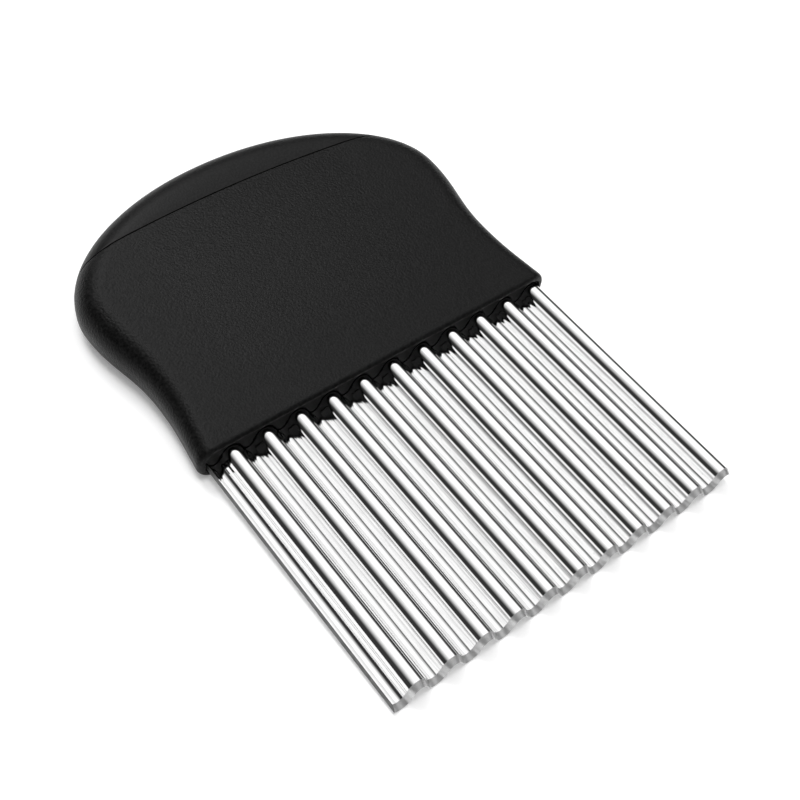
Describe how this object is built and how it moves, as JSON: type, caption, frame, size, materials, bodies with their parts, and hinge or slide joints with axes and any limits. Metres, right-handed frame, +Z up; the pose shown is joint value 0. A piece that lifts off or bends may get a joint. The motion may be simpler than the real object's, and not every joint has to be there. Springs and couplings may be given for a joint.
{
  "type": "crinkle cutter",
  "caption": "Hand-held crinkle cutter: a corrugated steel blade with a ground edge, clamped in a waisted black moulded handle that a separate palm cap closes.",
  "frame": {"origin": "bottom centre of the bounding box, with the tool lying on its flat back", "axes": "+X across the blade, +Y from the cutting edge towards the palm end, +Z up out of the handle's front face"},
  "size_m": [0.0946, 0.1322, 0.0138],
  "materials": {
    "blade_steel": "bright rolled stainless steel with fine lengthwise drawing marks and a ground edge",
    "handle_plastic": "black, fine spark-eroded grain",
    "cap_plastic": "black, smoother satin",
    "jaw_plastic": "black, plain moulded",
    "rivet_steel": "plain bright wire steel"
  },
  "bodies": {
    "root": {"corrugated_blade": "blade_steel", "handle_body": "handle_plastic", "palm_cap": "cap_plastic", "front_jaw": "jaw_plastic", "rear_jaw": "jaw_plastic", "clamp_rivet_1": "rivet_steel", "clamp_rivet_2": "rivet_steel", "clamp_rivet_3": "rivet_steel", "clamp_rivet_4": "rivet_steel"}
  },
  "joints": []
}
